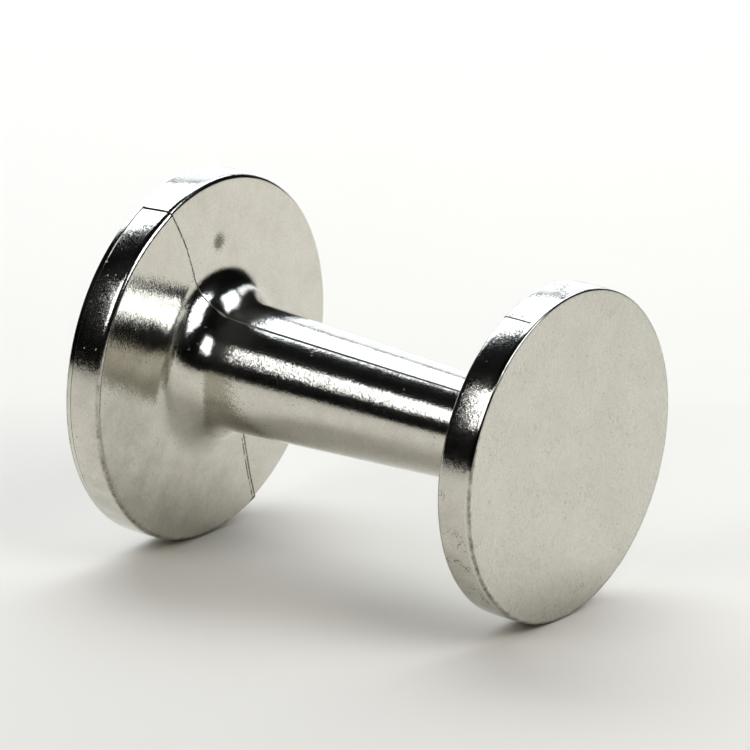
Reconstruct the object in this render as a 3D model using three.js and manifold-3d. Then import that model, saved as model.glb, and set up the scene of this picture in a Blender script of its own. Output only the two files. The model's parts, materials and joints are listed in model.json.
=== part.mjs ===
// Double-ended coffee tamper, lying on the rims of both of its heads.
//
// Two hollow cast half bodies meet on a plane through the axis. A face disc closes the outer end of each
// head: the skirt on its back hoops a lip on both halves, and one tie rod down the handle pulls the two
// discs together. Dowels locate the halves and a rubber ring seals each head.
//
// Every piece is drawn about its own axis, +X from the large face to the small face, with the seam plane
// on y = 0. Nested groups then roll the seam, tilt the axis and set the object down on z = 0.
// Units are millimetres.

import * as THREE from 'three';
import { mergeVertices } from 'three/addons/utils/BufferGeometryUtils.js';
import Module from 'manifold-3d';

const wasm = await Module();
wasm.setup();

// ---------------------------------------------------------------- driving dimensions

const OVERALL_LENGTH = 72.5;
const LARGE_HEAD_RADIUS = 28.5;
const SMALL_HEAD_RADIUS = 25.5;
const HEAD_THICKNESS = 6.1;
const EDGE_ROUND = 0.8;

const HANDLE_RADIUS_AT_LARGE_HEAD = 10.15;
const HANDLE_RADIUS_AT_SMALL_HEAD = 7.4;
const WEB_DRAFT = THREE.MathUtils.degToRad(3); // slope of a head's inner side up to the handle
const FLARE_RADIUS = 5.2; // concave blend from the handle into the large head
const SMALL_FILLET_RADIUS = 1.5; // the same blend at the small head

const FLANGE_THICKNESS = 1.0; // of a face disc, out at its edge
const WEB_THICKNESS = 2.2; // of the inner wall of a head
const RIM_WALL = 2.6;
const HANDLE_WALL = 2.6;

const LARGE_LIP = { inner: 14.5, outer: 17.0 }; // radii of the ring that the skirt of the disc hoops
const SMALL_LIP = { inner: 11.5, outer: 14.0 };
const SKIRT_WALL = 2.4;
const SKIRT_DEPTH = 2.3;

const ROD_RADIUS = 2.5;
const ROD_CHAMFER = 0.5;
const ROD_END_MARGIN = 3.4; // from each outer face to the end of the rod
const TAPPING_START = 3.1; // from each outer face to the bottom of the tapped hole
const LARGE_BOSS_RADIUS = 6.0;
const SMALL_BOSS_RADIUS = 4.4;
const BOSS_DEPTH = 12.0; // from each outer face to the end of the boss

const DOWEL_RADIUS = 0.9;
const DOWEL_LENGTH = 8.0;
const DOWEL_DEPTH = 4.0; // from each outer face to the axis of the dowel
const LUG = { depth: 2.2, halfLength: 4.6 }; // block beside the seam that takes the dowels

const SEAL_SECTION_RADIUS = 0.8;

const JOINT_GAP = 0.1; // between pieces that bear on each other
const FREE_GAP = 0.3; // where a piece stops short of its neighbour

const SEAM_ROLL = THREE.MathUtils.degToRad(25); // from straight up, towards -Y

const ROUND_SEGMENTS = 72; // a whole number of facets fits SEAM_ROLL, so each head rests on a flat
const SMALL_SEGMENTS = 24;
const SEAL_SEGMENTS = 36;

// ---------------------------------------------------------------- sizes that follow from them

const LARGE_WEB = HEAD_THICKNESS; // place along the axis of the inner side of the large head
const SMALL_WEB = OVERALL_LENGTH - HEAD_THICKNESS;
const HANDLE_TAPER = (HANDLE_RADIUS_AT_LARGE_HEAD - HANDLE_RADIUS_AT_SMALL_HEAD) / (SMALL_WEB - LARGE_WEB);
const TAPER_LENGTH = Math.hypot(1, HANDLE_TAPER);
const TAPER_ANGLE = Math.atan(HANDLE_TAPER);
const REST_TILT = Math.atan((LARGE_HEAD_RADIUS - SMALL_HEAD_RADIUS) / (OVERALL_LENGTH - HEAD_THICKNESS));

// ---------------------------------------------------------------- profiles: points of [along, radius]

function arc(centreAlong, centreRadius, radius, fromDegrees, toDegrees, steps) {
  const points = [];
  for (let i = 0; i <= steps; i++) {
    const angle = THREE.MathUtils.degToRad(fromDegrees + ((toDegrees - fromDegrees) * i) / steps);
    points.push([centreAlong + radius * Math.cos(angle), centreRadius + radius * Math.sin(angle)]);
  }
  return points;
}

function handleRadius(along) {
  return HANDLE_RADIUS_AT_LARGE_HEAD - HANDLE_TAPER * (along - LARGE_WEB);
}

// Centre of a round blend that touches the tapered handle and the sloping web that starts at webEdge.
// The handle lies in the direction towardsHandle from that web: 1 for +X and -1 for -X.
function blendCentre([edgeAlong, edgeRadius], towardsHandle, radius) {
  const overAxis = handleRadius(0) + radius * TAPER_LENGTH;
  const facing = towardsHandle * Math.cos(WEB_DRAFT);
  const rise = Math.sin(WEB_DRAFT);
  const along = (radius + edgeAlong * facing - (overAxis - edgeRadius) * rise) / (facing - HANDLE_TAPER * rise);
  return [along, overAxis - HANDLE_TAPER * along];
}

// Outer surface of the two half bodies, from the rim of the large head to the rim of the small one.
function bodyOutside() {
  const draft = THREE.MathUtils.radToDeg(WEB_DRAFT);
  const handleSide = 270 - THREE.MathUtils.radToDeg(TAPER_ANGLE);
  const rimEnd = FLANGE_THICKNESS + JOINT_GAP;
  const largeEdge = arc(LARGE_WEB - EDGE_ROUND, LARGE_HEAD_RADIUS - EDGE_ROUND, EDGE_ROUND, 90, draft, 2);
  const smallEdge = arc(SMALL_WEB + EDGE_ROUND, SMALL_HEAD_RADIUS - EDGE_ROUND, EDGE_ROUND, 180 - draft, 90, 2);
  const flareCentre = blendCentre(largeEdge[2], 1, FLARE_RADIUS);
  const filletCentre = blendCentre(smallEdge[0], -1, SMALL_FILLET_RADIUS);
  return [
    [rimEnd, LARGE_HEAD_RADIUS],
    ...largeEdge,
    ...arc(...flareCentre, FLARE_RADIUS, 180 + draft, handleSide, 5),
    ...arc(...filletCentre, SMALL_FILLET_RADIUS, handleSide, 360 - draft, 2),
    ...smallEdge,
    [OVERALL_LENGTH - rimEnd, SMALL_HEAD_RADIUS],
  ];
}

// Inner surface of one head, from its rim to the mouth of the handle, measured from its outer face.
function headInside(headRadius, lip, boreRadius) {
  const floor = HEAD_THICKNESS - WEB_THICKNESS;
  const rimEnd = FLANGE_THICKNESS + JOINT_GAP;
  const lipEnd = FLANGE_THICKNESS + FREE_GAP;
  return [
    [rimEnd, headRadius - RIM_WALL],
    [floor, headRadius - RIM_WALL],
    [floor, lip.outer],
    [lipEnd, lip.outer],
    [lipEnd, lip.inner],
    [floor, lip.inner],
    [floor, boreRadius],
  ];
}

function fromSmallFace(points) {
  return points.map(([along, radius]) => [OVERALL_LENGTH - along, radius]);
}

function bodyProfile() {
  const boreAtLarge = handleRadius(LARGE_WEB) - HANDLE_WALL;
  const boreAtSmall = handleRadius(SMALL_WEB) - HANDLE_WALL;
  const small = fromSmallFace(headInside(SMALL_HEAD_RADIUS, SMALL_LIP, boreAtSmall));
  const large = headInside(LARGE_HEAD_RADIUS, LARGE_LIP, boreAtLarge).reverse();
  const outside = bodyOutside();
  return [...outside, ...small, ...large, outside[0]];
}

// A face disc, measured from its outer face: flange, skirt round the lips, and tapped boss.
function discProfile(headRadius, lip, bossRadius) {
  const skirtInner = lip.outer + JOINT_GAP;
  const skirtOuter = skirtInner + SKIRT_WALL;
  const skirtEnd = FLANGE_THICKNESS + SKIRT_DEPTH;
  const tappingRadius = ROD_RADIUS + JOINT_GAP;
  return [
    [0, 0],
    ...arc(EDGE_ROUND, headRadius - EDGE_ROUND, EDGE_ROUND, 180, 90, 2),
    [FLANGE_THICKNESS, headRadius],
    [FLANGE_THICKNESS, skirtOuter],
    [skirtEnd, skirtOuter],
    [skirtEnd, skirtInner],
    [FLANGE_THICKNESS, skirtInner],
    [FLANGE_THICKNESS, bossRadius],
    [BOSS_DEPTH, bossRadius],
    [BOSS_DEPTH, tappingRadius],
    [TAPPING_START, tappingRadius],
    [TAPPING_START, 0],
  ];
}

// ---------------------------------------------------------------- solids

// Turns a profile round the X axis, with a flat of the facets facing +Z, -Z, +Y and -Y.
function turned(profile, segments) {
  const points = profile.map(([along, radius]) => new THREE.Vector2(radius, along));
  const geometry = new THREE.LatheGeometry(points, segments, Math.PI / segments);
  geometry.rotateZ(-Math.PI / 2);
  return closed(geometry);
}

// Merges shared vertices, drops triangles of no area at the axis, and makes the faces point out.
function closed(geometry) {
  geometry.deleteAttribute('normal');
  geometry.deleteAttribute('uv');
  const merged = mergeVertices(geometry, 1e-4);
  const corner = [0, 1, 2].map(() => new THREE.Vector3());
  const position = merged.attributes.position;
  const kept = [];
  let volume = 0;
  for (let i = 0; i < merged.index.count; i += 3) {
    const [a, b, c] = [0, 1, 2].map((k) => merged.index.getX(i + k));
    if (a === b || b === c || c === a) continue;
    kept.push([a, b, c]);
    [a, b, c].forEach((vertex, k) => corner[k].fromBufferAttribute(position, vertex));
    volume += corner[0].dot(corner[1].clone().cross(corner[2]));
  }
  merged.setIndex(kept.flatMap(([a, b, c]) => (volume > 0 ? [a, b, c] : [a, c, b])));
  return merged;
}

function toManifold(geometry) {
  const solid = closed(geometry);
  const vertProperties = new Float32Array(solid.attributes.position.array);
  const triVerts = new Uint32Array(solid.index.array);
  return new wasm.Manifold(new wasm.Mesh({ numProp: 3, vertProperties, triVerts }));
}

function toGeometry(manifold) {
  const mesh = manifold.getMesh();
  const geometry = new THREE.BufferGeometry();
  geometry.setAttribute('position', new THREE.BufferAttribute(new Float32Array(mesh.vertProperties), 3));
  geometry.setIndex(Array.from(mesh.triVerts));
  return geometry;
}

// A block with its sides along X, Y and Z, given by its lowest and highest corners.
function block(low, high) {
  const size = high.map((value, i) => value - low[i]);
  const centre = high.map((value, i) => (value + low[i]) / 2);
  return toManifold(new THREE.BoxGeometry(...size).translate(...centre));
}

// A pin across the seam plane, centred on it.
function acrossSeam(along, up, radius, length) {
  return new THREE.CylinderGeometry(radius, radius, length, SMALL_SEGMENTS / 2).translate(along, 0, up);
}

// Where the dowels stand: two in each head, one on each side of the axis.
function dowelPlaces() {
  const heads = [
    { name: 'large', lip: LARGE_LIP, radius: LARGE_HEAD_RADIUS, along: DOWEL_DEPTH, face: 0 },
    { name: 'small', lip: SMALL_LIP, radius: SMALL_HEAD_RADIUS, along: OVERALL_LENGTH - DOWEL_DEPTH,
      face: OVERALL_LENGTH },
  ];
  return heads.flatMap((head) => {
    const inner = head.lip.outer + JOINT_GAP + SKIRT_WALL + 2 * FREE_GAP;
    const cornerLimit = head.radius - RIM_WALL - 2 * SEAL_SECTION_RADIUS - JOINT_GAP - FREE_GAP;
    const outer = Math.sqrt(cornerLimit ** 2 - LUG.halfLength ** 2);
    return [['upper', 1], ['lower', -1]].map(([side, sign]) => ({ ...head, side, sign, inner, outer }));
  });
}

function lug(place) {
  const inward = place.face === 0 ? 1 : -1;
  const ends = [place.face + inward * LUG.depth, place.face + inward * (HEAD_THICKNESS - WEB_THICKNESS / 2)];
  const heights = [place.sign * place.inner, place.sign * place.outer];
  return block(
    [Math.min(...ends), -LUG.halfLength, Math.min(...heights)],
    [Math.max(...ends), LUG.halfLength, Math.max(...heights)],
  );
}

function dowelHeight(place) {
  return (place.sign * (place.inner + place.outer)) / 2;
}

// Both half bodies in one: the turned shell, with the lugs on and the dowel holes out.
function wholeBody() {
  let body = toManifold(turned(bodyProfile(), ROUND_SEGMENTS));
  for (const place of dowelPlaces()) {
    const hole = acrossSeam(place.along, dowelHeight(place), DOWEL_RADIUS + JOINT_GAP, DOWEL_LENGTH + FREE_GAP);
    body = body.add(lug(place)).subtract(toManifold(hole));
  }
  return body;
}

// The part of the body on one side of the seam plane: side is -1 for -Y and +1 for +Y.
function halfBody(side) {
  const reach = OVERALL_LENGTH;
  const sides = [(side * JOINT_GAP) / 2, side * reach];
  const space = block([-1, Math.min(...sides), -reach], [reach, Math.max(...sides), reach]);
  return toGeometry(wholeBody().intersect(space));
}

function largeFaceDisc() {
  return turned(discProfile(LARGE_HEAD_RADIUS, LARGE_LIP, LARGE_BOSS_RADIUS), ROUND_SEGMENTS);
}

function smallFaceDisc() {
  const profile = fromSmallFace(discProfile(SMALL_HEAD_RADIUS, SMALL_LIP, SMALL_BOSS_RADIUS));
  return turned(profile, ROUND_SEGMENTS);
}

function tieRod() {
  const start = ROD_END_MARGIN;
  const end = OVERALL_LENGTH - ROD_END_MARGIN;
  const profile = [
    [start, 0],
    [start, ROD_RADIUS - ROD_CHAMFER],
    [start + ROD_CHAMFER, ROD_RADIUS],
    [end - ROD_CHAMFER, ROD_RADIUS],
    [end, ROD_RADIUS - ROD_CHAMFER],
    [end, 0],
  ];
  return turned(profile, SMALL_SEGMENTS);
}

// A round rubber ring in the corner between the rim and the flange of the face disc.
function sealingRing(headRadius) {
  const along = FLANGE_THICKNESS + JOINT_GAP + SEAL_SECTION_RADIUS;
  const middle = headRadius - RIM_WALL - JOINT_GAP - SEAL_SECTION_RADIUS;
  const section = arc(along, middle, SEAL_SECTION_RADIUS, 0, 360, 6);
  section[section.length - 1] = section[0];
  return section;
}

// ---------------------------------------------------------------- materials

const castAluminium = new THREE.MeshStandardMaterial({ color: 0xc9c8c4, roughness: 0.14, metalness: 1 });
const sandedAluminium = new THREE.MeshStandardMaterial({ color: 0xc6c4bb, roughness: 0.32, metalness: 1 });
const steel = new THREE.MeshStandardMaterial({ color: 0x9a9a9c, roughness: 0.3, metalness: 1 });
const nitrileRubber = new THREE.MeshStandardMaterial({ color: 0x1d1d1e, roughness: 0.7, metalness: 0 });

// ---------------------------------------------------------------- assembly

const alongAxis = new THREE.Group();

function addPiece(name, geometry, material) {
  const mesh = new THREE.Mesh(geometry, material);
  mesh.name = name;
  alongAxis.add(mesh);
}

addPiece('front_half_body', halfBody(-1), castAluminium);
addPiece('rear_half_body', halfBody(1), castAluminium);
addPiece('large_face_disc', largeFaceDisc(), sandedAluminium);
addPiece('small_face_disc', smallFaceDisc(), sandedAluminium);
addPiece('tie_rod', tieRod(), steel);
addPiece('large_sealing_ring', turned(sealingRing(LARGE_HEAD_RADIUS), SEAL_SEGMENTS), nitrileRubber);
addPiece('small_sealing_ring', turned(fromSmallFace(sealingRing(SMALL_HEAD_RADIUS)), SEAL_SEGMENTS),
  nitrileRubber);
for (const place of dowelPlaces()) {
  const dowel = closed(acrossSeam(place.along, dowelHeight(place), DOWEL_RADIUS, DOWEL_LENGTH));
  addPiece(`${place.name}_head_${place.side}_dowel`, dowel, steel);
}

alongAxis.rotation.x = SEAM_ROLL;

const leaning = new THREE.Group();
leaning.add(alongAxis);
leaning.rotation.y = REST_TILT;

// Set the object down: lowest point on z = 0, middle of its box over the origin.
const tamper = new THREE.Group();
tamper.add(leaning);
tamper.updateMatrixWorld(true);
const extent = new THREE.Box3().setFromObject(tamper, true);
const middle = extent.getCenter(new THREE.Vector3());
leaning.position.set(-middle.x, -middle.y, -extent.min.z);

export default tamper;
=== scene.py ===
"""Double-ended coffee tamper of bright cast aluminium, lying on the rims of both heads on a pale table.

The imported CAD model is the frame. Its turned bodies and face discs are faceted, so they are replaced here by
fine meshes drawn about the same axis; the tie rod, dowels and sealing rings stay and get better materials.
"""

import json
import math

import bmesh
import bpy
import numpy as np
from mathutils import Matrix, Vector, noise


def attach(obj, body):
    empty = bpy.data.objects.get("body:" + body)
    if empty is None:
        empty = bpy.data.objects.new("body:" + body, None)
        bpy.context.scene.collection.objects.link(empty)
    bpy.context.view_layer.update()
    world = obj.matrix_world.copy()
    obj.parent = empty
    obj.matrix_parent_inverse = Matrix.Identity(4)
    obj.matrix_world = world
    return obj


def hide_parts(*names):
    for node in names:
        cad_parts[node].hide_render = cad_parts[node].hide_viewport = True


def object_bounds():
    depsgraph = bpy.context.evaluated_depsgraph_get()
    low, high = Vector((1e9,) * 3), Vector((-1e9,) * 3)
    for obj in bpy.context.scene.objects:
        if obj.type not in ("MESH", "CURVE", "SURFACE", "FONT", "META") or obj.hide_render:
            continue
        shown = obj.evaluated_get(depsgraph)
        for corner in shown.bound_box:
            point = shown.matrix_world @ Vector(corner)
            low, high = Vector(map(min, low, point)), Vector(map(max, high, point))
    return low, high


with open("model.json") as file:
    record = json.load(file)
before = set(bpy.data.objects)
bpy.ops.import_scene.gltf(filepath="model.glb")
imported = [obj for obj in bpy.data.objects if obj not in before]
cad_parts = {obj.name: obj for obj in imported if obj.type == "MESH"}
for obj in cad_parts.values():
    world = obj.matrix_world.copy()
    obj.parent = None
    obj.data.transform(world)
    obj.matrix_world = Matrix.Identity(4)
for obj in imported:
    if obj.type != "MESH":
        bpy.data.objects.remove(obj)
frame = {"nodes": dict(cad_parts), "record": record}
cad_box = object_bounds()

MM = 0.001

# ------------------------------------------------------------------ driving dimensions, in millimetres

OVERALL_LENGTH = 72.5
LARGE_RADIUS = 28.5
SMALL_RADIUS = 25.5
HEAD_THICKNESS = 6.1  # with its face disc
EDGE_ROUND = 0.8  # where a rim meets the inner side of its head
FACE_EDGE_ROUND = 0.35  # where a face meets its rim
HANDLE_RADIUS_AT_LARGE_HEAD = 10.15
HANDLE_RADIUS_AT_SMALL_HEAD = 7.4
WEB_DRAFT = 3.0  # degrees by which the inner side of a head slopes up to the handle
FLARE_REACH = (5.3, 5.7)  # how far the blend into the large head runs up the web and out along the handle
FLARE_TIGHTNESS = 2.15  # how sharply it turns in the middle, where 2 is a circle
FILLET_REACH = (1.9, 1.9)  # the same blend at the small head
FILLET_TIGHTNESS = 2.3

FLANGE_THICKNESS = 1.0  # of a face disc at its rim
WEB_THICKNESS = 2.2  # the metal round the hollow, here and in the next two
RIM_WALL = 2.6
HANDLE_WALL = 2.6
LARGE_LIP = (14.5, 17.0)  # inner and outer radius of the lip in a head which centres the face disc
SMALL_LIP = (11.5, 14.0)
SKIRT_WALL = 2.4  # the skirt on the back of a face disc, which fits round the lip
SKIRT_DEPTH = 2.3
LARGE_BOSS_RADIUS = 6.0  # the boss on the back of a face disc, and the hole in it for the tie rod
SMALL_BOSS_RADIUS = 4.4
BOSS_DEPTH = 12.0
TAPPING_START = 3.1
TAPPING_RADIUS = 2.6
JOINT_GAP = 0.1  # between skirt and lip
FREE_GAP = 0.3  # between a lip's end and the flange

SEAM_ROLL = 25.0  # degrees, from straight up towards the front
SEAM_GAP = 0.03  # between the halves as they are closed
SEAM_SHIFT = 0.12  # of the halves along the seam at the large end, each its own way
SEAM_SHIFT_FALL = 0.6  # part of that shift which is gone at the small end
SEAM_SWING = 1.0  # how far the seam swings to the rear on the large web
SEAM_SWING_RADII = (21.5, 14.0)  # where it swings most, above the axis and below it
SEAM_SWING_WIDTH = 7.5  # how far from there it fades away
SEAM_OFFSET_ON_HANDLE = 0.38  # how far it runs in front of the axis along the handle
SEAM_CROSSING = (2.0, 8.0)  # how far past the large web it goes over from the one to the other
SEAM_CROSSING_INSIDE = 10.0  # the same towards the small rim, counted from the large radius
SEAM_EDGE_ROUND = 0.045  # of each half along the seam
SEAM_EDGE_WEAR = 0.16  # how much wider that rounding is where a web is worn or chipped
CHIP_LENGTH, WORN_LENGTH = 0.55, 3.0  # of single chips and of worn stretches
WORN_SHARE = 0.4  # how much the stretches count beside the chips
RIM_SEAM_GAP = 0.03  # between a face disc and the body
CROWN = 0.08  # how far the middle of a rim stands out over its edges
WAVINESS = 0.008  # height of the soft unevenness of the castings
SLOW_WAVE, QUICK_WAVE = 7.0, 2.6  # lengths of its waves
QUICK_WAVE_SHARE = 0.35  # of the height of the slow one
FACE_SHOULDER = 2.4  # width of the band inside a face's edge that sanding has worn down
FACE_SHOULDER_DROP = 0.05  # of that band at the edge
DIMPLE_RADIUS = 18.6  # a shallow stained dimple in the large web: its place, width and depth
DIMPLE_ANGLE = 25.0  # from the seam, on the rear half
DIMPLE_WIDTH = 0.8
DIMPLE_DEPTH = 0.1
BURR_HEIGHT = 0.14  # of the front half over the rear one where the seam leaves the large head below
BURR_LENGTH = 2.5  # how far along the rim it fades away
CREASE_OFFSET = 0.58  # of the broken crease beside the lower seam, with its width and depth
CREASE_WIDTH = 0.06
CREASE_DEPTH = 0.07
CREASE_BREAK = 1.1  # length of the stretches that it comes and goes in

LARGE_WEB = HEAD_THICKNESS
SMALL_WEB = OVERALL_LENGTH - HEAD_THICKNESS
TAPER = (HANDLE_RADIUS_AT_LARGE_HEAD - HANDLE_RADIUS_AT_SMALL_HEAD) / (SMALL_WEB - LARGE_WEB)

# Steps along each stretch of the profiles, and round them.
EDGE_STEPS = 8
RIM_STEPS = 14
LARGE_WEB_STEPS = 44
FLARE_STEPS = 60
HANDLE_STEPS = 110
FILLET_STEPS = 16
SMALL_WEB_STEPS = 24
FACE_EDGE_STEPS = 10
FACE_STEPS = 60
HALF_STEPS = 190
DISC_STEPS = 320


# ------------------------------------------------------------------ place of the object's axis in the frame

def mount_position(name):
    """The place of one of the record's mounts, in metres."""
    mounts = frame["record"]["mounts"]
    return Vector(next(m["pos_m"] for m in mounts if m["name"] == name))


def axis_matrix():
    """From drawing space (X along the axis, seam on y = 0, Z up) to the frame."""
    start, end = mount_position("large_face"), mount_position("small_face")
    along = (end - start).normalized()
    across = Vector((0, 0, 1)).cross(along).normalized()
    upward = along.cross(across)
    level = Matrix((along, across, upward)).transposed().to_4x4()
    return Matrix.Translation(start) @ level @ Matrix.Rotation(math.radians(SEAM_ROLL), 4, "X")


AXIS = axis_matrix()


# ------------------------------------------------------------------ profiles: lists of (along, radius)

def arc(along, radius, size, start, end, steps):
    """Points of an arc about (along, radius), with angles in degrees."""
    angles = [math.radians(start + (end - start) * i / steps) for i in range(steps + 1)]
    return [(along + size * math.cos(a), radius + size * math.sin(a)) for a in angles]


def straight(start, end, steps):
    """Points inside a straight stretch, without its two ends."""
    return [tuple(a + (b - a) * i / steps for a, b in zip(start, end)) for i in range(1, steps)]


def handle_radius(along):
    """The handle's outer radius, without the blends at its ends."""
    return HANDLE_RADIUS_AT_LARGE_HEAD - TAPER * (along - LARGE_WEB)


def blend(web_edge, towards_handle, reach, tightness, steps):
    """The hollow curve from a web, which starts at web_edge, into the handle.
    towards_handle is 1 where the handle lies further along and -1 where it lies less far."""
    draft = math.radians(WEB_DRAFT)
    web = Vector((-towards_handle * math.sin(draft), math.cos(draft)))
    handle = Vector((towards_handle, -towards_handle * TAPER)).normalized()
    height = (web_edge[1] - handle_radius(web_edge[0])) / (web.y + TAPER * web.x)
    corner = Vector(web_edge) - height * web
    points = []
    for i in range(steps + 1):
        turn = math.pi / 2 * i / steps
        up = reach[0] * (1 - math.sin(turn) ** (2 / tightness))
        out = reach[1] * (1 - math.cos(turn) ** (2 / tightness))
        points.append(tuple(corner + up * web + out * handle))
    return points


def body_outside():
    """The outer surface of the body, from the joint at the large disc to the joint at the small one."""
    large_edge = arc(LARGE_WEB - EDGE_ROUND, LARGE_RADIUS - EDGE_ROUND, EDGE_ROUND, 90, WEB_DRAFT, EDGE_STEPS)
    small_edge = arc(SMALL_WEB + EDGE_ROUND, SMALL_RADIUS - EDGE_ROUND, EDGE_ROUND, 180 - WEB_DRAFT, 90,
                     EDGE_STEPS)
    flare = blend(large_edge[-1], 1, FLARE_REACH, FLARE_TIGHTNESS, FLARE_STEPS)
    fillet = blend(small_edge[0], -1, FILLET_REACH, FILLET_TIGHTNESS, FILLET_STEPS)[::-1]
    first = (FLANGE_THICKNESS, LARGE_RADIUS)
    last = (OVERALL_LENGTH - FLANGE_THICKNESS, SMALL_RADIUS)
    return [
        first, *straight(first, large_edge[0], RIM_STEPS),
        *large_edge, *straight(large_edge[-1], flare[0], LARGE_WEB_STEPS),
        *flare, *straight(flare[-1], fillet[0], HANDLE_STEPS),
        *fillet, *straight(fillet[-1], small_edge[0], SMALL_WEB_STEPS),
        *small_edge, *straight(small_edge[-1], last, RIM_STEPS), last,
    ]


def on_web(along, radius):
    """Whether a point is on the inner side of the large head, outside the handle."""
    beside = LARGE_WEB - EDGE_ROUND < along < LARGE_WEB + 0.5 * FLARE_REACH[1]
    return beside and radius < LARGE_RADIUS - 0.1 * EDGE_ROUND


def head_inside(radius, lip, bore):
    """The inner surface of a head, measured from its face, from the rim to the bore of the handle."""
    bottom = HEAD_THICKNESS - WEB_THICKNESS
    lip_end = FLANGE_THICKNESS + FREE_GAP
    return [
        (FLANGE_THICKNESS, radius - RIM_WALL), (bottom, radius - RIM_WALL), (bottom, lip[1]),
        (lip_end, lip[1]), (lip_end, lip[0]), (bottom, lip[0]), (bottom, bore),
    ]


def from_small_face(points):
    """Turns points that are measured from the small face into points along the axis."""
    return [(OVERALL_LENGTH - along, radius) for along, radius in points]


def body_inside():
    """The inner surface of the body, from the small head back to the large one."""
    large = head_inside(LARGE_RADIUS, LARGE_LIP, handle_radius(LARGE_WEB) - HANDLE_WALL)
    small = head_inside(SMALL_RADIUS, SMALL_LIP, handle_radius(SMALL_WEB) - HANDLE_WALL)
    return from_small_face(small) + large[::-1]


def disc_outside(radius):
    """The visible surface of a face disc, measured from the face: centre, face, rounded edge, flange."""
    edge = arc(FACE_EDGE_ROUND, radius - FACE_EDGE_ROUND, FACE_EDGE_ROUND, 180, 90, FACE_EDGE_STEPS)
    rings = straight((0, 0), edge[0], FACE_STEPS)
    worn = [worn_shoulder(point, edge[0][1]) for point in ((0, 0), *rings, *edge)]
    return [*worn, (FLANGE_THICKNESS - RIM_SEAM_GAP, radius)]


def worn_shoulder(point, edge):
    """Lets the face fall away a little towards the rounding that starts at this radius."""
    along, radius = point
    inside = min(1.0, max(0.0, (radius - edge + FACE_SHOULDER) / FACE_SHOULDER))
    return along + FACE_SHOULDER_DROP * inside ** 2, radius


def disc_inside(lip, boss):
    """The hidden side of a face disc, measured from the face: flange, skirt, boss and the hole in it."""
    skirt = lip[1] + JOINT_GAP
    end = FLANGE_THICKNESS + SKIRT_DEPTH
    back = FLANGE_THICKNESS - RIM_SEAM_GAP
    return [
        (back, skirt + SKIRT_WALL), (end, skirt + SKIRT_WALL), (end, skirt), (back, skirt), (back, boss),
        (BOSS_DEPTH, boss), (BOSS_DEPTH, TAPPING_RADIUS), (TAPPING_START, TAPPING_RADIUS), (TAPPING_START, 0),
    ]


# ------------------------------------------------------------------ meshes

DRAWN = "drawn"  # a point's place about the object's own axis, which the materials follow
BESIDE_SEAM = "beside_seam"  # a point's distance from the seam, in front of it where it is negative
SHARP_ANGLE = 35.0  # degrees between faces above which an edge isn't smoothed


def crowned(point):
    """Lowers the edges of the rims a little under their middle."""
    along, radius = point
    for start, end, rim in ((0, LARGE_WEB, LARGE_RADIUS), (SMALL_WEB, OVERALL_LENGTH, SMALL_RADIUS)):
        if start <= along <= end and radius > rim - EDGE_ROUND:
            off_middle = 2 * (along - (start + end) / 2) / (end - start)
            return along, radius - CROWN * off_middle ** 2
    return point


def profile_normals(points):
    """Outward unit normals of an open profile, as (along, radial)."""
    step = np.gradient(np.array(points), axis=0)
    step /= np.linalg.norm(step, axis=1, keepdims=True)
    return np.stack([-step[:, 1], step[:, 0]], axis=1)


def wave(x, y, z):
    """Soft unevenness of a casting at a point in millimetres, mostly from -1 to 1."""
    slow = noise.noise(Vector((x, y, z)) / SLOW_WAVE)
    quick = noise.noise(Vector((x + 40, y, z)) / QUICK_WAVE)
    return slow + QUICK_WAVE_SHARE * quick


def new_object(name, mesh, material):
    """Puts a mesh in the scene in place of the CAD node of the same name."""
    mesh.materials.append(material)
    piece = bpy.data.objects.new(name, mesh)
    bpy.context.scene.collection.objects.link(piece)
    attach(piece, "root")
    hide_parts(name)


def smooth_mesh(name, vertices, faces):
    """A mesh in the frame from points drawn in millimetres, which it keeps in its attribute DRAWN."""
    mesh = bpy.data.meshes.new(name)
    mesh.from_pydata([tuple(c * MM for c in v) for v in vertices], [], faces)
    drawn = mesh.attributes.new(DRAWN, "FLOAT_VECTOR", "POINT")
    drawn.data.foreach_set("vector", np.array(vertices, np.float32).ravel() * MM)
    mesh.transform(AXIS)
    bm = bmesh.new()
    bm.from_mesh(mesh)
    bmesh.ops.recalc_face_normals(bm, faces=bm.faces)
    bm.to_mesh(mesh)
    bm.free()
    mesh.shade_smooth()
    mesh.set_sharp_from_angle(angle=math.radians(SHARP_ANGLE))
    return mesh


# Where the columns of points beside the seam lie, in mm from it: closest at its edge and at the crease.
SEAM_COLUMNS = (
    0.0, 0.015, 0.03, 0.05, 0.08, 0.12, 0.16, 0.2, 0.28, 0.38, 0.46, 0.52, 0.58, 0.64, 0.7, 0.8,
)


def half_columns(radius):
    """Angles from the seam plane across one half at this radius, closer together beside the seam."""
    near = [math.asin(min(1.0, y / radius)) for y in SEAM_COLUMNS]
    first, last = near[-1], math.pi - near[-1]
    middle = [first + (last - first) * i / HALF_STEPS for i in range(1, HALF_STEPS)]
    return near + middle + [math.pi - a for a in reversed(near)]


def ease(value, start, end):
    """Goes smoothly from 0 at start to 1 at end."""
    part = min(1.0, max(0.0, (value - start) / (end - start)))
    return part * part * (3 - 2 * part)


def seam_wander(along, radius, swing_radius):
    """How far the seam lies to the rear of its plane, as the parting surface of a hand-cut mould does."""
    past_web = ease(along, LARGE_WEB + SEAM_CROSSING[0], LARGE_WEB + SEAM_CROSSING[1])
    on_handle = past_web * ease(LARGE_RADIUS - radius, 0, SEAM_CROSSING_INSIDE)
    swing = SEAM_SWING * math.exp(-((radius - swing_radius) / SEAM_SWING_WIDTH) ** 2)
    swing *= ease(along, 1, LARGE_WEB)
    return swing * (1 - on_handle) - SEAM_OFFSET_ON_HANDLE * on_handle


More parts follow.
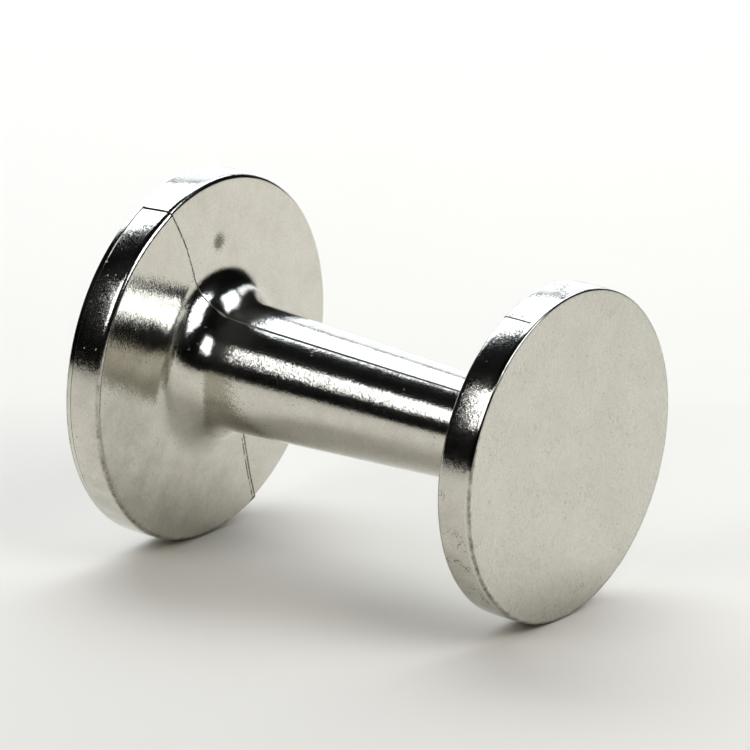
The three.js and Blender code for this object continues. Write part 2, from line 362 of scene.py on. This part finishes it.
def seam_rounding(distance, along, radius, z):
    """How far the outer surface drops beside the seam, where the edge of the half is rounded and worn."""
    size = SEAM_EDGE_ROUND
    if on_web(along, radius):
        chipped = noise.noise(Vector((along, 0, z)) / CHIP_LENGTH)
        worn = noise.noise(Vector((along, 9, z)) / WORN_LENGTH)
        size += SEAM_EDGE_WEAR * max(0.0, chipped + WORN_SHARE * worn)
    short = max(0.0, size - distance)
    return size - math.sqrt(size ** 2 - short ** 2)


def cold_shut(distance, along, radius, z):
    """Depth of the broken crease that follows the seam at a little distance, down the front half's web."""
    if z > 0 or not on_web(along, radius):
        return 0.0
    broken = max(0.0, noise.noise(Vector((0, 20, z)) / CREASE_BREAK) + 0.25)
    return CREASE_DEPTH * broken * math.exp(-((distance - CREASE_OFFSET) / CREASE_WIDTH) ** 2)


def dimple(along, y, z):
    """Depth of the dimple in the large web at a point of the rear half."""
    if along >= 2 * LARGE_WEB:
        return 0.0
    angle = math.radians(DIMPLE_ANGLE)
    apart = math.hypot(y - DIMPLE_RADIUS * math.sin(angle), z - DIMPLE_RADIUS * math.cos(angle))
    return DIMPLE_DEPTH * math.exp(-(apart / DIMPLE_WIDTH) ** 2)


def burr(along, radius, y, z):
    """How far the front half stands over the rear one beside the lower end of the seam."""
    if z > 0 or along > LARGE_WEB or radius < LARGE_RADIUS - EDGE_ROUND:
        return 0.0
    return BURR_HEIGHT * math.exp(-(y / BURR_LENGTH) ** 2) * (along / LARGE_WEB) ** 2


def surface_lift(side, along, radius, column):
    """How far the outer surface stands out over its profile, at this angle from the seam plane."""
    y, z = math.sin(column) * radius, math.cos(column) * radius
    lift = WAVINESS * wave(along, y * side, z) - seam_rounding(y, along, radius, z)
    if side < 0:
        return lift + (burr(along, radius, y, z) - cold_shut(y, along, radius, z))
    return lift - dimple(along, y, z)


def half_faces(rows, columns):
    """Faces round a closed profile, with the two flat ones that close it on the seam."""
    faces = []
    for i in range(rows):
        below, above = i * columns, ((i + 1) % rows) * columns
        faces += [(below + j, below + j + 1, above + j + 1, above + j) for j in range(columns - 1)]
    faces.append(tuple(i * columns for i in range(rows)))
    faces.append(tuple(i * columns + columns - 1 for i in reversed(range(rows))))
    return faces


def half_body(name, side, material):
    """One half of the body. side is -1 for the front half, towards -Y, and 1 for the rear half."""
    outside = [crowned(p) for p in body_outside()]
    normals = profile_normals(outside)
    profile = outside + body_inside()
    vertices, beside_seam = [], []
    for i, (along, radius) in enumerate(profile):
        shift = side * SEAM_SHIFT * (1 - SEAM_SHIFT_FALL * along / OVERALL_LENGTH)
        upper, lower = (side * seam_wander(along, radius, swing) / radius for swing in SEAM_SWING_RADII)
        for column in half_columns(radius):
            a, r = along, radius
            if i < len(outside):
                lift = surface_lift(side, along, radius, column)
                a += normals[i][0] * lift
                r += normals[i][1] * lift
            angle = upper + column * (1 - (upper + lower) / math.pi)
            y = side * (math.sin(angle) * r + SEAM_GAP / 2)
            vertices.append((a, y, math.cos(angle) * r + shift))
            beside_seam.append(side * math.sin(column) * radius * MM)
    mesh = smooth_mesh(name, vertices, half_faces(len(profile), len(vertices) // len(profile)))
    mesh.attributes.new(BESIDE_SEAM, "FLOAT", "POINT").data.foreach_set("value", beside_seam)
    new_object(name, mesh, material)


def face_disc(name, outside, inside, material):
    """A face disc, turned about the axis. Its profile starts and ends on the axis."""
    profile = outside + inside
    vertices, faces, rings = [], [], []
    for along, radius in profile:
        if radius == 0:
            rings.append([len(vertices)] * DISC_STEPS)
            vertices.append((along, 0, 0))
            continue
        rings.append(list(range(len(vertices), len(vertices) + DISC_STEPS)))
        for j in range(DISC_STEPS):
            angle = 2 * math.pi * j / DISC_STEPS
            vertices.append((along, math.sin(angle) * radius, math.cos(angle) * radius))
    for low, high in zip(rings, rings[1:]):
        for j in range(DISC_STEPS):
            k = (j + 1) % DISC_STEPS
            corners = [low[j], low[k], high[k], high[j]]
            faces.append(tuple(dict.fromkeys(corners)))
    new_object(name, smooth_mesh(name, vertices, faces), material)


# ------------------------------------------------------------------ materials

class Nodes:
    """A small helper for building a material's node tree."""

    def __init__(self, name, drawn=False):
        self.material = bpy.data.materials.new(name)
        self.material.use_nodes = True
        self.tree = self.material.node_tree
        self.shader = self.tree.nodes["Principled BSDF"]
        if drawn:
            self.place = self.add("ShaderNodeAttribute", attribute_name=DRAWN).outputs["Vector"]
            self.unrolled = self.unroll()
        else:
            self.place = self.add("ShaderNodeTexCoord").outputs["Object"]

    def add(self, kind, **values):
        node = self.tree.nodes.new(kind)
        for key, value in values.items():
            setattr(node, key, value)
        return node

    def link(self, source, socket):
        self.tree.links.new(source, socket)

    def drive(self, socket, source):
        """Lets something that varies over the surface feed an input of the shader."""
        self.link(source, self.shader.inputs[socket])

    def set(self, **values):
        """Sets inputs of the shader that are the same all over the surface."""
        for key, value in values.items():
            self.shader.inputs[key.replace("_", " ").capitalize()].default_value = value

    def separate(self, place):
        """The three coordinates of a place."""
        node = self.add("ShaderNodeSeparateXYZ")
        self.link(place, node.inputs["Vector"])
        return node.outputs

    def unroll(self):
        """Coordinates along the axis, round it and away from it. They meet at the lower seam."""
        self.along, across, self.height = self.separate(self.place)
        self.radius = self.hypot(across, self.height)
        joined = self.add("ShaderNodeCombineXYZ")
        around = self.math("MULTIPLY", self.math("ARCTAN2", across, self.height), self.radius)
        for socket, value in zip(joined.inputs, (self.along, around, self.radius)):
            self.link(value, socket)
        return joined.outputs["Vector"]

    def hypot(self, a, b):
        """The length of a slope that runs a one way and b the other."""
        squares = self.math("ADD", self.math("MULTIPLY", a, a), self.math("MULTIPLY", b, b))
        return self.math("POWER", squares, 0.5)

    def from_circle(self, along, radius):
        """Distance from a circle about the axis, such as an edge of a rim."""
        across = self.math("SUBTRACT", self.radius, radius * MM)
        off = self.math("SUBTRACT", self.along, along * MM)
        return self.hypot(across, off)

    def from_point(self, *point):
        """Distance from a drawn point, which is given in millimetres."""
        node = self.add("ShaderNodeVectorMath", operation="DISTANCE")
        self.link(self.place, node.inputs[0])
        node.inputs[1].default_value = [c * MM for c in point]
        return node.outputs["Value"]

    def texture(self, kind, size, stretch, place):
        """A texture with features about size millimetres across, stretched by these factors."""
        mapping = self.add("ShaderNodeMapping")
        mapping.inputs["Scale"].default_value = [1 / (size * MM * s) for s in stretch]
        self.link(place, mapping.inputs["Vector"])
        texture = self.add(kind)
        texture.inputs["Scale"].default_value = 1.0
        self.link(mapping.outputs["Vector"], texture.inputs["Vector"])
        return texture

    def noise(self, size, detail=2.0, roughness=0.5, stretch=(1, 1, 1), place=None):
        """Soft noise, from 0 to 1 and mostly near the middle."""
        texture = self.texture("ShaderNodeTexNoise", size, stretch, place or self.place)
        texture.inputs["Detail"].default_value = detail
        texture.inputs["Roughness"].default_value = roughness
        return texture.outputs["Fac"]

    def ragged(self, size, amount):
        """A distance that varies to both sides of 0, to make an outline ragged. size and amount are in mm."""
        both_ways = self.math("SUBTRACT", self.noise(size, detail=3.0, roughness=0.7), 0.5)
        return self.math("MULTIPLY", both_ways, amount * MM)

    def ramp(self, value, low, high, at_low, at_high):
        """Maps value from low..high to at_low..at_high, held flat outside that range."""
        node = self.add("ShaderNodeMapRange")
        node.inputs["From Min"].default_value = low
        node.inputs["From Max"].default_value = high
        node.inputs["To Min"].default_value = at_low
        node.inputs["To Max"].default_value = at_high
        self.link(value, node.inputs["Value"])
        return node.outputs["Result"]

    def math(self, operation, first, *others):
        """Applies an operation with two sides to two values, or one after the other to more."""
        result = first
        for other in others:
            node = self.add("ShaderNodeMath", operation=operation)
            for socket, value in zip(node.inputs, (result, other)):
                if isinstance(value, (int, float)):
                    socket.default_value = value
                else:
                    self.link(value, socket)
            result = node.outputs["Value"]
        return result

    def absolute(self, value):
        return self.math("ABSOLUTE", value, 0.0)

    def mix(self, factor, a, b):
        """Goes from colour a where factor is 0 to colour b where it is 1."""
        node = self.add("ShaderNodeMix", data_type="RGBA")
        self.link(factor, node.inputs["Factor"])
        for socket, value in ((node.inputs[6], a), (node.inputs[7], b)):  # its sockets for colours
            if isinstance(value, tuple):
                socket.default_value = (*value, 1)
            else:
                self.link(value, socket)
        return node.outputs[2]

    def facets(self, size, stretch, amount, below):
        """Tilts the normal below by a random amount in each small cell, as the grain of bright metal does."""
        cells = self.texture("ShaderNodeTexVoronoi", size, stretch, self.unrolled)
        lean = self.add("ShaderNodeVectorMath", operation="MULTIPLY_ADD")
        self.link(cells.outputs["Color"], lean.inputs[0])
        lean.inputs[1].default_value = (2 * amount,) * 3
        lean.inputs[2].default_value = (-amount,) * 3
        tilted = self.add("ShaderNodeVectorMath", operation="ADD")
        self.link(below, tilted.inputs[0])
        self.link(lean.outputs["Vector"], tilted.inputs[1])
        unit = self.add("ShaderNodeVectorMath", operation="NORMALIZE")
        self.link(tilted.outputs["Vector"], unit.inputs[0])
        return unit.outputs["Vector"]

    def bump(self, height, distance, below=None):
        """A normal tilted by a height that goes from 0 to this distance in metres, over another normal."""
        node = self.add("ShaderNodeBump")
        node.inputs["Distance"].default_value = distance
        self.link(height, node.inputs["Height"])
        if below is not None:
            self.link(below, node.inputs["Normal"])
        return node.outputs["Normal"]


def specks(nodes, spacing, size):
    """Sparse small round marks of at most this radius: 1 in the middle of a mark and 0 outside."""
    cells = nodes.texture("ShaderNodeTexVoronoi", spacing, (1, 1, 1), nodes.place)
    return nodes.ramp(cells.outputs["Distance"], 0.5 * size / spacing, size / spacing, 1.0, 0.0)


HEAD_EDGES = (
    (0.0, LARGE_RADIUS), (LARGE_WEB, LARGE_RADIUS), (SMALL_WEB, SMALL_RADIUS), (OVERALL_LENGTH, SMALL_RADIUS),
)
LOW_IN_FRONT = (OVERALL_LENGTH / 2, -26, -12)  # the drawn point round which the dirt and the painted shade are strongest


def edge_dirt_and_shade(nodes):
    """Dirt and painted shade, a dark reflection of the shadowed table, in a ragged broken line along the edges
    of the heads, most of it low in front, from 0 to 1.
    """
    nearest = 1.0
    for along, radius in HEAD_EDGES:
        nearest = nodes.math("MINIMUM", nodes.from_circle(along, radius), nearest)
    # a dark line along the edges, partly dirt and partly painted shade for the shadowed table seen in their
    # roundings, strongest low in front
    line = nodes.ramp(nodes.math("ADD", nearest, nodes.ragged(0.7, 0.9)), 0.2 * MM, 0.6 * MM, 1.0, 0.0)
    low = nodes.ramp(nodes.from_point(*LOW_IN_FRONT), 40 * MM, 66 * MM, 1.0, 0.45)
    broken = nodes.ramp(nodes.noise(1.8, detail=3.0, roughness=0.6), 0.36, 0.6, 0.35, 1.0)
    return nodes.math("MULTIPLY", line, broken, low)


def outermost(nodes, head_radius, elsewhere):
    """1 near the rim of a head of this radius and this much further in."""
    return nodes.ramp(nodes.radius, (head_radius - 0.6) * MM, (head_radius - 0.3) * MM, elsewhere, 1.0)


def on_small_rim(nodes):
    """1 on the rim of the small head and 0 elsewhere."""
    at_end = nodes.ramp(nodes.along, SMALL_WEB * MM, (SMALL_WEB + 0.4) * MM, 0.0, 1.0)
    return nodes.math("MULTIPLY", at_end, outermost(nodes, SMALL_RADIUS, 0.0))


def on_rims(nodes, elsewhere):
    """1 on the rims of the heads and this much elsewhere."""
    return nodes.math("MAXIMUM", outermost(nodes, LARGE_RADIUS, elsewhere), on_small_rim(nodes))


def scratches(nodes, size, thin):
    """Fine curly marks where noise is within thin of its middle: 1 on a mark and 0 beside it."""
    ridge = nodes.absolute(nodes.math("SUBTRACT", nodes.noise(size, roughness=0.6), 0.5))
    line = nodes.ramp(ridge, 0.3 * thin, thin, 1.0, 0.0)
    return nodes.math("MULTIPLY", line, nodes.ramp(nodes.noise(2.5 * size), 0.52, 0.58, 0.0, 1.0))


SEAM_DIRT_OFFSET = 0.06  # how far in front of the seam the middle of its dirt lies
UPPER_SEAM_DIRT, LOWER_SEAM_DIRT = 0.17, 0.22  # how far the dirt reaches from there


def seam_dirt(nodes):
    """Dirt packed along the seam, in spots beside it and, below, in the crease along it, from 0 to 1."""
    beside = nodes.add("ShaderNodeAttribute", attribute_name=BESIDE_SEAM).outputs["Fac"]
    below = nodes.ramp(nodes.height, -9 * MM, -7 * MM, 1.0, 0.0)
    ragged = nodes.ragged(0.35, 0.25)
    from_seam = nodes.absolute(nodes.math("ADD", beside, SEAM_DIRT_OFFSET * MM))
    reach = nodes.ramp(below, 0.0, 1.0, UPPER_SEAM_DIRT * MM, LOWER_SEAM_DIRT * MM)
    line = nodes.ramp(nodes.math("DIVIDE", nodes.math("ADD", from_seam, ragged), reach), 0.5, 1.0, 1.0, 0.0)
    from_crease = nodes.absolute(nodes.math("ADD", beside, CREASE_OFFSET * MM))
    crease = nodes.ramp(nodes.math("ADD", from_crease, ragged), 0.1 * MM, 0.17 * MM, 1.0, 0.0)
    length = nodes.ramp(nodes.noise(1.6), 0.38, 0.46, 0.0, 1.0)
    crease = nodes.math("MULTIPLY", crease, below, length)
    packed = nodes.ramp(nodes.noise(0.6, detail=3.0, roughness=0.7), 0.36, 0.5, 0.1, 1.0)
    broken = nodes.math("MULTIPLY", line, packed)
    beside_line = nodes.ramp(from_seam, 0.2 * MM, 0.32 * MM, 1.0, 0.0)
    spots = nodes.math("MULTIPLY", specks(nodes, 0.8, 0.28), beside_line)
    on_webs = nodes.ramp(nodes.radius, 11 * MM, 15 * MM, 0.0, 1.0)
    along_webs = nodes.math("MULTIPLY", nodes.math("MAXIMUM", broken, crease, spots), on_webs)
    on_handle = nodes.ramp(nodes.along, 17 * MM, 20 * MM, 0.0, 0.8)
    return nodes.math("MAXIMUM", along_webs, nodes.math("MULTIPLY", line, on_handle))


def painted_low_shade(nodes):
    """Painted shade low down in front, a dark reflection of the shadowed table, which the handle has less of,
    from 0 to 1.
    """
    low = nodes.ramp(nodes.from_point(*LOW_IN_FRONT), 22 * MM, 52 * MM, 1.0, 0.0)
    heads = nodes.ramp(nodes.radius, 9 * MM, 20 * MM, 0.3, 1.0)
    patchy = nodes.ramp(nodes.noise(3.5, detail=5.0, roughness=0.7), 0.38, 0.62, 0.35, 1.0)
    return nodes.math("MULTIPLY", low, heads, patchy)


def dimple_stain(nodes):
    """The dark fuzzy stain in the dimple, from 0 to 1."""
    angle = math.radians(DIMPLE_ANGLE)
    place = (LARGE_WEB + 0.9, DIMPLE_RADIUS * math.sin(angle), DIMPLE_RADIUS * math.cos(angle) + SEAM_SHIFT)
    outline = nodes.math("ADD", nodes.from_point(*place), nodes.ragged(0.25, 3.6))
    return nodes.ramp(outline, 0.75 * MM, 1.75 * MM, 1.0, 0.0)


# the colour of dirt, and of the painted shade along the edges of the heads
DIRT_AND_SHADE = (0.09, 0.08, 0.065)
CAST_COLOUR = (0.735, 0.715, 0.65)
CAST_STAINED = (0.61, 0.59, 0.52)
CAST_MOTTLED = (0.50, 0.475, 0.41)
# the colour of the painted shade low in front
CAST_PAINTED_SHADE = (0.3, 0.285, 0.24)
CAST_ROUGHNESS = (0.11, 0.14)  # of the brightest and the dullest metal


def cast_metal():
    """Bright cast aluminium, tumbled smooth, with a fine grain, pits, stains, dirt and painted shade along its
    edges, and painted shade low in front.
    """
    nodes = Nodes("cast_metal", drawn=True)
    nodes.set(metallic=1.0)

    stain = nodes.ramp(nodes.noise(4.0, detail=5.0, roughness=0.65), 0.42, 0.72, 0.0, 0.7)
    clean = nodes.mix(stain, CAST_COLOUR, CAST_STAINED)
    mottle = nodes.ramp(nodes.noise(0.27, roughness=0.6), 0.3, 0.6, 0.5, 0.0)
    mottled = nodes.mix(mottle, clean, CAST_MOTTLED)
    # painted shade low in front, standing in for the shadowed table seen in the metal
    with_painted_shade = nodes.mix(nodes.math("MULTIPLY", painted_low_shade(nodes), 0.65), mottled, CAST_PAINTED_SHADE)

    pitted = nodes.ramp(nodes.noise(6.0), 0.46, 0.6, 0.1, 1.0)
    pits = nodes.math("MULTIPLY", specks(nodes, 1.3, 0.16), pitted, on_rims(nodes, 0.6))
    curls = nodes.math("MULTIPLY", scratches(nodes, 1.5, 0.022), on_small_rim(nodes))
    marks = nodes.math("MAXIMUM", curls, pits, edge_dirt_and_shade(nodes), seam_dirt(nodes), dimple_stain(nodes))
    marks = nodes.math("MULTIPLY", marks, 0.85)
    nodes.drive("Base Color", nodes.mix(marks, with_painted_shade, DIRT_AND_SHADE))
    rough = nodes.ramp(nodes.noise(2.0, detail=3.0), 0.3, 0.7, *CAST_ROUGHNESS)
    nodes.drive("Roughness", nodes.math("ADD", rough, nodes.math("MULTIPLY", marks, 0.12)))

    peel = nodes.bump(nodes.noise(1.0), 5e-6)
    grain = nodes.bump(nodes.noise(0.24, detail=1.5, stretch=(1, 1.3, 1), place=nodes.unrolled), 5e-6, peel)
    dents = nodes.bump(nodes.math("MULTIPLY", pits, -1.0), 3e-5, grain)
    nodes.drive("Normal", nodes.facets(0.13, (1, 1.1, 1), 0.031, dents))
    return nodes.material


SANDED_COLOUR = (0.715, 0.7, 0.637)
SANDED_CLOUDED = (0.655, 0.64, 0.577)
SANDED_STREAKED = (0.54, 0.52, 0.455)
# the colour of the painted contact shadow low on the face
SANDED_PAINTED_SHADE = (0.25, 0.235, 0.2)
POLISHED_ROUGHNESS = 0.1  # of the disc's rim
SATIN_ROUGHNESS = (0.15, 0.22)  # how much rougher the face is, along the strokes


def sanded_metal():
    """Aluminium sanded with straight strokes, satin, with specks, a painted contact shadow low on the face,
    and dirt and painted shade at its edge.
    """
    nodes = Nodes("sanded_metal", drawn=True)
    nodes.set(metallic=1.0)
    upright = nodes.add("ShaderNodeVectorRotate", rotation_type="X_AXIS")
    upright.inputs["Angle"].default_value = math.radians(SEAM_ROLL)
    nodes.link(nodes.place, upright.inputs["Vector"])
    strokes = upright.outputs["Vector"]

    streaks = nodes.noise(0.3, roughness=0.6, stretch=(1, 1, 2.2), place=strokes)
    fine = nodes.noise(0.16, roughness=0.6, stretch=(1, 1, 4), place=strokes)
    cloud = nodes.ramp(nodes.noise(7.0, detail=5.0, roughness=0.65), 0.38, 0.7, 0.0, 1.0)
    clean = nodes.mix(cloud, SANDED_COLOUR, SANDED_CLOUDED)
    mottled = nodes.mix(nodes.ramp(streaks, 0.3, 0.6, 0.5, 0.0), clean, SANDED_STREAKED)
    height = nodes.separate(strokes)[2]
    # painted shade: darker towards the bottom of the face, standing in for the table's contact shadow seen in
    # it
    painted_contact_shade = nodes.math("ADD", height, nodes.math("MULTIPLY", nodes.noise(4.0, detail=4.0), 6 * MM))
    mottled = nodes.mix(nodes.ramp(painted_contact_shade, -21 * MM, -14 * MM, 0.3, 0.0), mottled, SANDED_PAINTED_SHADE)

    marked = nodes.ramp(nodes.noise(7.0), 0.46, 0.62, 0.1, 1.0)
    pits = nodes.math("MULTIPLY", specks(nodes, 1.5, 0.19), marked)
    # the edge line here is dirt and painted shade
    shares = ((pits, 0.5), (edge_dirt_and_shade(nodes), 0.8), (scratches(nodes, 2.4, 0.008), 0.3))
    marks = nodes.math("MAXIMUM", *(nodes.math("MULTIPLY", mark, share) for mark, share in shares))
    nodes.drive("Base Color", nodes.mix(marks, mottled, DIRT_AND_SHADE))

    disc_radius = nodes.ramp(nodes.along, 0.0, OVERALL_LENGTH * MM, LARGE_RADIUS * MM, SMALL_RADIUS * MM)
    satin = nodes.ramp(nodes.math("SUBTRACT", disc_radius, nodes.radius), 0.12 * MM, 0.36 * MM, 0.0, 1.0)
    rough = nodes.math("MULTIPLY", nodes.ramp(streaks, 0.3, 0.7, *SATIN_ROUGHNESS), satin)
    nodes.drive("Roughness", nodes.math("ADD", rough, POLISHED_ROUGHNESS))
    coarse = nodes.bump(streaks, 7e-6)
    nodes.drive("Normal", nodes.bump(fine, 4e-6, coarse))
    return nodes.material


def turned_steel():
    """Plain steel of the tie rod and dowels, with fine turning marks."""
    nodes = Nodes("turned_steel")
    nodes.set(metallic=1.0)
    rings = nodes.noise(0.2, roughness=0.6, stretch=(1, 30, 30))
    nodes.drive("Base Color", nodes.mix(rings, (0.5, 0.5, 0.51), (0.62, 0.62, 0.63)))
    nodes.drive("Roughness", nodes.ramp(rings, 0.3, 0.7, 0.25, 0.35))
    nodes.drive("Normal", nodes.bump(rings, 4e-6))
    return nodes.material


def sealing_rubber():
    """Matt black nitrile rubber."""
    nodes = Nodes("sealing_rubber")
    skin = nodes.noise(0.25, detail=3.0)
    nodes.drive("Base Color", nodes.mix(skin, (0.014, 0.014, 0.015), (0.026, 0.026, 0.027)))
    nodes.drive("Roughness", nodes.ramp(skin, 0.3, 0.7, 0.55, 0.7))
    nodes.drive("Normal", nodes.bump(skin, 1e-5))
    return nodes.material


def table_top():
    """The pale table: matt, a warm white that looks nearly neutral under the cool lights."""
    nodes = Nodes("table_top")
    cloud = nodes.noise(60.0)
    nodes.drive("Base Color", nodes.mix(cloud, (0.80, 0.763, 0.685), (0.825, 0.788, 0.71)))
    nodes.set(roughness=0.75)
    return nodes.material


# ------------------------------------------------------------------ the object

metal = cast_metal()
sanded = sanded_metal()
half_body("front_half_body", -1, metal)
half_body("rear_half_body", 1, metal)
face_disc("large_face_disc", disc_outside(LARGE_RADIUS),
          disc_inside(LARGE_LIP, LARGE_BOSS_RADIUS), sanded)
face_disc("small_face_disc", from_small_face(disc_outside(SMALL_RADIUS)),
          from_small_face(disc_inside(SMALL_LIP, SMALL_BOSS_RADIUS)), sanded)

steel = turned_steel()
rubber = sealing_rubber()
for name, node in frame["nodes"].items():
    if name == "tie_rod" or name.endswith("_dowel"):
        node.data.materials[0] = steel
    if name.endswith("_sealing_ring"):
        node.data.materials[0] = rubber


# ------------------------------------------------------------------ stage, camera and light

TABLE_REACH = 3.0  # metres from the object
TABLE_GAP = 0.00001  # which keeps it out of the object


def floor():
    """The table, just under the lowest point of the object."""
    mesh = bpy.data.meshes.new("table")
    corners = [(x * TABLE_REACH, y * TABLE_REACH, 0) for x, y in ((-1, -1), (1, -1), (1, 1), (-1, 1))]
    mesh.from_pydata(corners, [], [(0, 1, 2, 3)])
    mesh.materials.append(table_top())
    table = bpy.data.objects.new("table", mesh)
    bpy.context.scene.collection.objects.link(table)
    table.location.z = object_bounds()[0][2] - TABLE_GAP


VIEW_AZIMUTH = 36.42  # degrees, with 0 looking along +Y
VIEW_ELEVATION = 17.53
VIEW_DISTANCE = 1.4415  # metres
LENS = 462.2  # millimetres, like the sensor's width
SENSOR = 36.0
NEAREST, FURTHEST = 0.05, 20  # metres, what the camera sees
AIM_RIGHT, AIM_UP = 0.32 * MM, 2.64 * MM  # from the middle of the object's box, as seen in the view


def direction(azimuth, elevation):
    """Unit vector towards a place seen from the object, where azimuth 0 is towards -Y and 90 towards +X."""
    a, e = math.radians(azimuth), math.radians(elevation)
    return Vector((math.sin(a) * math.cos(e), -math.cos(a) * math.cos(e), math.sin(e)))


def camera():
    """The camera, which looks at a point near the middle of the object."""
    low, high = (Vector(corner) for corner in cad_box)
    back = direction(VIEW_AZIMUTH, VIEW_ELEVATION)
    right = Vector((0, 0, 1)).cross(back).normalized()
    upward = back.cross(right)
    aim = (low + high) / 2 + AIM_RIGHT * right + AIM_UP * upward
    data = bpy.data.cameras.new("camera")
    data.lens = LENS
    data.sensor_width = SENSOR
    data.clip_start = NEAREST
    data.clip_end = FURTHEST
    view = bpy.data.objects.new("camera", data)
    bpy.context.scene.collection.objects.link(view)
    turn = Matrix((right, upward, back)).transposed().to_4x4()
    view.matrix_world = Matrix.Translation(aim + VIEW_DISTANCE * back) @ turn
    bpy.context.scene.camera = view


def softbox(name, side, elevation, distance, width, height, radiance, roll=0.0, tint=(1, 1, 1),
            mirrored=True, lights_table=True):
    """A rectangular light that faces the object. side is its azimuth from the camera, clockwise from above.
    A light that isn't mirrored lights the table but isn't seen in the metal; one that doesn't light the table
    is seen in the metal alone."""
    data = bpy.data.lights.new(name, "AREA")
    data.shape = "RECTANGLE"
    data.size = width
    data.size_y = height
    data.energy = radiance * math.pi * width * height
    data.color = tint
    light = bpy.data.objects.new(name, data)
    bpy.context.scene.collection.objects.link(light)
    towards = direction(VIEW_AZIMUTH - side, elevation)
    right = Vector((0, 0, 1)).cross(towards).normalized()
    upward = towards.cross(right)
    turn = Matrix((right, upward, towards)).transposed().to_4x4()
    spin = Matrix.Rotation(math.radians(roll), 4, "Z")
    light.matrix_world = Matrix.Translation(towards * distance) @ turn @ spin
    light.visible_camera = False
    light.visible_glossy = mirrored
    light.visible_diffuse = lights_table


ROOM = (0.002, 0.002, 0.002, 1)  # the dark between the lights


def lights():
    """The studio: two soft boxes in front, one behind over a lit backdrop, and fills that light the table."""
    world = bpy.data.worlds.new("studio")
    world.use_nodes = True
    world.node_tree.nodes["Background"].inputs["Color"].default_value = ROOM
    bpy.context.scene.world = world
    # After each name: degrees from the camera, degrees up, metres away, width, height and radiance.
    softbox("left_softbox", 50, 40.3, 1.0, 0.62, 0.395, 3.1, roll=14.5, tint=(0.94, 0.96, 1))
    softbox("right_softbox", -57, 41, 0.6, 0.46, 0.277, 4.2, roll=-8, tint=(0.88, 0.94, 1.05),
            lights_table=False)
    softbox("right_fill", -50, 50, 0.6, 0.4, 0.34, 3.1, roll=-8, tint=(0.98, 0.98, 1), mirrored=False)
    softbox("rear_softbox", 179, 54.9, 0.7, 0.95, 0.41, 3.2, roll=-5, tint=(0.9, 0.97, 1.08))
    softbox("backdrop", 182, 13, 0.9, 1.2, 0.66, 1.55, tint=(0.92, 0.98, 1.06))
    softbox("backdrop_fill", 182, 13, 0.9, 1.2, 0.66, 1.68, tint=(1, 0.975, 0.94), mirrored=False)
    softbox("overhead_fill", 180, 75, 1.4, 0.8, 0.8, 0.9, tint=(1, 1, 0.98), mirrored=False)
    softbox("front_fill", 0, 35, 1.2, 1.2, 0.5, 0.2, tint=(1, 1, 0.6), mirrored=False)


floor()
camera()
lights()
bpy.context.scene.view_settings.view_transform = "Standard"
